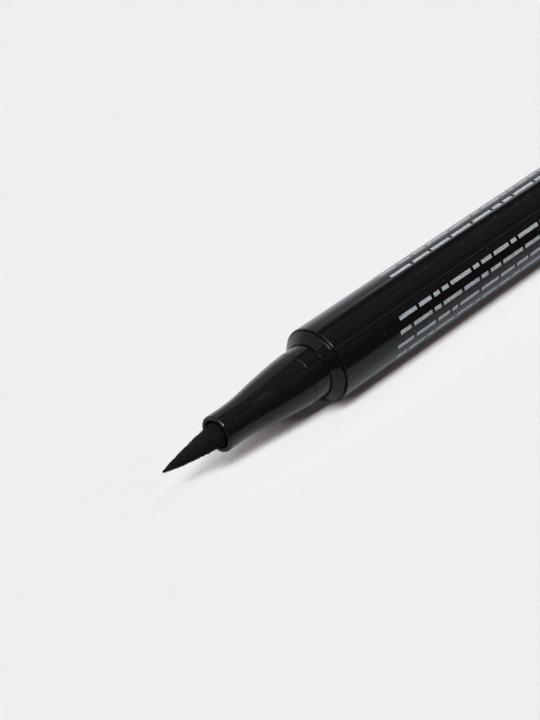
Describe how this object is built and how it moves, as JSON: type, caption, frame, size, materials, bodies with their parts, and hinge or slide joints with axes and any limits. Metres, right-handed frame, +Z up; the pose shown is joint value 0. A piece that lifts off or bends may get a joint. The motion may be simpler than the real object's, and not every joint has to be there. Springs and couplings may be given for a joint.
{
  "type": "liquid eyeliner pen",
  "caption": "Slim round cosmetic pen lying on its side, with a pointed felt tip, a tapered nose, a chamfered collar and its cap posted on the tail.",
  "frame": {"origin": "on the surface that the pen lies on, below the middle of its length", "axes": "+X along the pen from the felt tip to the posted cap, +Z up, +Y across"},
  "size_m": [0.1614, 0.0104, 0.0105],
  "materials": {
    "barrel_plastic": "polished black moulding",
    "collar_plastic": "polished black moulding",
    "nose_plastic": "polished black moulding, slightly softer than the barrel",
    "cap_plastic": "polished black moulding",
    "felt": "ground felt soaked with black ink",
    "sleeve_plastic": "plain dark moulding",
    "wick_fibre": "bonded fibre soaked with ink",
    "feed_plastic": "natural moulding",
    "seal_rubber": "smooth ring",
    "ball_steel": "bright ball",
    "inner_cap_plastic": "plain dark moulding"
  },
  "bodies": {
    "pen": {"barrel": "barrel_plastic", "front_collar": "collar_plastic", "nose_cone": "nose_plastic", "felt_tip": "felt", "tip_sleeve": "sleeve_plastic", "ink_wick": "wick_fibre", "finned_feed": "feed_plastic", "feed_seal": "seal_rubber", "tail_plug": "collar_plastic", "tail_seal": "seal_rubber"},
    "cap": {"cap_shell": "cap_plastic", "inner_cap": "inner_cap_plastic"},
    "ball": {"mixing_ball": "ball_steel"}
  },
  "joints": [
    {"name": "cap_slide", "type": "slide", "parent": "pen", "child": "cap", "axis": [1, 0, 0], "range_m": [0, 0.012]},
    {"name": "ball_slide", "type": "slide", "parent": "pen", "child": "ball", "axis": [1, 0, 0], "range_m": [-0.0514, 0]}
  ]
}
